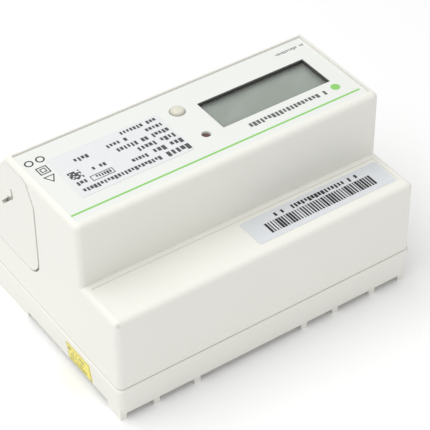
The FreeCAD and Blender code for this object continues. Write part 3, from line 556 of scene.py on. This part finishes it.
def slab(points, low, high):
    """A closed plate from the corners of its outline."""
    work = bmesh.new()
    face = work.faces.new([work.verts.new((x, y, low)) for x, y in points])
    raised = bmesh.ops.extrude_face_region(work, geom=[face])
    corners = [item for item in raised["geom"] if isinstance(item, bmesh.types.BMVert)]
    bmesh.ops.translate(work, verts=corners, vec=(0, 0, high - low))
    bmesh.ops.recalc_face_normals(work, faces=work.faces)
    return written(work, "slab")


def rounded(low_x, low_y, high_x, high_y, radius, steps=6):
    """Corners of a rectangle with round corners."""
    points = []
    centres = ((high_x - radius, high_y - radius, 0), (low_x + radius, high_y - radius, 90),
               (low_x + radius, low_y + radius, 180), (high_x - radius, low_y + radius, 270))
    for x, y, start in centres:
        for step in range(steps + 1):
            angle = math.radians(start + 90 * step / steps)
            points.append((x + radius * math.cos(angle), y + radius * math.sin(angle)))
    return points


def ring_of(outer, inner, low, high):
    """A closed flat ring between two outlines with the same number of corners."""
    work = bmesh.new()
    count = len(outer)
    loops = [[work.verts.new((x, y, z)) for x, y in line] for z in (low, high) for line in (outer, inner)]
    for first, second in ((0, 1), (1, 3), (3, 2), (2, 0)):
        one, other = loops[first], loops[second]
        for index in range(count):
            after = (index + 1) % count
            work.faces.new((one[index], one[after], other[after], other[index]))
    bmesh.ops.recalc_face_normals(work, faces=work.faces)
    return written(work, "ring")


STILL = Matrix.Identity(4)


# ---------------------------------------------------------------- the meter's pieces

def set_panel_print():
    """Green line, a green spot, pale name marks and three plain icons on the front panel."""
    low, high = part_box("front_panel")
    z, top = high.z, high.z + PRINT_THICKNESS
    line_y, spot_x = high.y - 3.7 * MM, low.x + 7.5 * MM
    line = rounded(low.x + 1.5 * MM, line_y - 0.4 * MM, high.x - 0.2 * MM, line_y + 0.4 * MM, 0.15 * MM)
    spot = rounded(spot_x - 1.7 * MM, line_y - 7.4 * MM, spot_x + 1.7 * MM, line_y - 4.0 * MM, 1.65 * MM)
    green = [(slab(outline, z, top), STILL) for outline in (line, spot)]
    printed("panel_green_print", green, "panel", GREEN_INK)
    name_row = word_row(low.x + 12.5 * MM, line_y - 6.2 * MM, z, 33 * MM, 2.5 * MM, 5, SOFT_INK)
    corner_row = word_row(low.x + 1.8 * MM, high.y - 36.5 * MM, z, 12.5 * MM, 1.5 * MM, 9, PALE_INK)
    printed("panel_name_marks", [name_row], "panel", SOFT_INK)
    printed("panel_corner_marks", [corner_row], "panel", PALE_INK)
    set_icons(high, z)


def set_icons(high, z):
    """Square in square, a triangle and two plain rings."""
    top = z + PRINT_THICKNESS
    x, y = high.x - 5.0 * MM, high.y - 28.5 * MM
    parts = []
    for reach, width in ((2.0, 0.4), (1.05, 0.36)):
        parts.append(ring_of(square(x, y, reach), square(x, y, reach - width), z, top))
    y += 4.6 * MM
    parts.append(ring_of(polygon(x, y, 2.5, 3), polygon(x, y, 1.75, 3), z, top))
    y = high.y - 34.0 * MM
    for middle in (x - 2.0 * MM, x + 2.2 * MM):
        parts.append(ring_of(polygon(middle, y, 1.6, 28), polygon(middle, y, 1.1, 28), z, top))
    printed("panel_icons", [(part, STILL) for part in parts], "panel", BLACK_INK)


def square(x, y, reach):
    reach *= MM
    return [(x - reach, y - reach), (x + reach, y - reach), (x + reach, y + reach), (x - reach, y + reach)]


def polygon(x, y, reach, sides):
    turns = [math.radians(90 + 360 * index / sides) for index in range(sides)]
    return [(x + reach * MM * math.cos(turn), y + reach * MM * math.sin(turn)) for turn in turns]


def label_film(node, material=None):
    """A film with round corners in place of a label's node. Returns its two corners and its printed height."""
    low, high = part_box(node)
    z = high.z - PRINT_THICKNESS
    mesh = slab(rounded(low.x, low.y, high.x, high.y, FILM_CORNER), low.z, z)
    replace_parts(new_piece(node + "_film", mesh, "housing", "label_film", material), node)
    return low, high, z


def set_type_label():
    """Film with six rows of unreadable marks, a framed box and a square of cells."""
    low, high, z = label_film("type_label", GREY_FILM)
    # start and length along the label, distance of the base line from its upper edge, height
    rows = [
        (1.0, 10.0, 3.9, 3.0), (12.0, 30.0, 3.7, 2.1),
        (1.2, 13.0, 7.7, 2.7), (14.8, 6.5, 7.3, 2.0), (38.0, 4.5, 7.6, 2.2),
        (1.6, 17.5, 11.4, 2.4), (28.5, 6.0, 11.4, 2.2),
        (1.8, 23.0, 14.9, 2.2),
        (2.0, 8.0, 18.3, 2.2), (16.0, 9.5, 18.3, 2.2), (31.0, 6.5, 18.4, 2.3),
        (2.4, 18.0, 21.7, 2.1),
    ]
    parts = [word_row(low.x + x * MM, high.y - y * MM, z, length * MM, height * MM, index + 21, GREY_INK)
             for index, (x, length, y, height) in enumerate(rows)]
    left, top = low.x + 27.5 * MM, high.y - 5.0 * MM
    outer = rounded(left, top - 2.8 * MM, left + 8.5 * MM, top, 0.3 * MM, 2)
    inner = rounded(left + 0.3 * MM, top - 2.5 * MM, left + 8.2 * MM, top - 0.3 * MM, 0.2 * MM, 2)
    parts.append((ring_of(outer, inner, z, z + PRINT_THICKNESS), STILL))
    parts.append(word_row(left + 1.3 * MM, top - 2.2 * MM, z, 6.5 * MM, 1.6 * MM, 77, GREY_INK))
    cell, cells = 0.55 * MM, 8
    for row in range(cells):
        mesh = grown(GREY_INK, Count=cells, Pitch=cell, Narrow=cell, Wide=cell, Short=cell, Tall=cell, Kept=0.6,
                     Seed=90 + row)
        parts.append((mesh, Matrix.Translation((low.x + 37.3 * MM, high.y - 9.2 * MM - cell * row, z))))
    printed("type_label_marks", parts, "label_film", GREY_INK)


def set_code_label():
    """Film with a row of bars and a row of unreadable marks."""
    low, _, z = label_film("code_label")
    pitch, tall = 1.12 * MM, 5.2 * MM
    bars = grown(BLACK_INK, Count=40, Pitch=pitch, Narrow=pitch * 0.3, Wide=pitch * 0.98, Short=tall, Tall=tall,
                 Kept=1.0, Seed=3)
    parts = [(bars, Matrix.Translation((low.x + 7.0 * MM, low.y + 4.6 * MM, z)))]
    parts.append(word_row(low.x + 10.6 * MM, low.y + 1.7 * MM, z, 36 * MM, 2.3 * MM, 14, BLACK_INK))
    printed("code_label_marks", parts, "label_film", BLACK_INK)


def set_test_label():
    """Dark outline and unreadable marks on the yellow label, which leans with the tapered end face."""
    low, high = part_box("test_label")
    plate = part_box("type_label")[1].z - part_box("type_label")[0].z
    lean = math.atan2(high.x - low.x - plate, high.z - low.z)
    along, up = Vector((0, 1, 0)), Vector((math.sin(lean), 0, math.cos(lean)))
    face = Matrix((along, up, along.cross(up))).transposed().to_4x4()
    height = (high.z - low.z) / math.cos(lean) - plate * math.tan(lean)
    width = high.y - low.y
    corner = Vector((high.x, low.y, high.z - plate * math.sin(lean))) - up * height
    face = Matrix.Translation(corner) @ face
    inset, line = 0.05 * MM, 0.25 * MM
    outer = [(inset, inset), (width - inset, inset), (width - inset, height), (inset, height)]
    inner = [(line, line), (width - line, line), (width - line, height - line), (line, height - line)]
    parts = [(ring_of(outer, inner, 0, PRINT_THICKNESS), face)]
    for row, (start, length, tall) in enumerate(((1.4, 11.0, 1.5), (2.2, 8.5, 1.2), (1.6, 10.5, 1.2))):
        base = (5.7 - 2.3 * row) * MM
        mesh, shift = word_row(start * MM, base, 0, length * MM, tall * MM, 50 + row, OLIVE_INK)
        parts.append((mesh, face @ shift))
    printed("test_label_marks", parts, "yellow_film", OLIVE_INK)


# how far the sharp edges of a node are eased, in millimetres
EDGE_WIDTHS = {
    "upper_housing": 0.22, "base_housing": 0.2, "terminal_cover": 0.3, "front_panel": 0.15,
    "terminal_block": 0.15, "rail_latch_right": 0.15, "rail_latch_left": 0.15, "supply_transformer": 0.3,
    "board_cable": 0.1, "display_window": 0.05, "lcd_contact_strips": 0.1, "voltage_tongues": 0.1,
}
SMALL_EDGE = 0.12
LABELS = ("type_label", "code_label", "test_label")


def build():
    for node in frame["nodes"]:
        plain_finish(node)
        if node not in LABELS:
            refine(node, EDGE_WIDTHS.get(node, SMALL_EDGE))
    set_panel_print()
    set_type_label()
    set_code_label()
    set_test_label()


set_camera()
set_stage()
build()
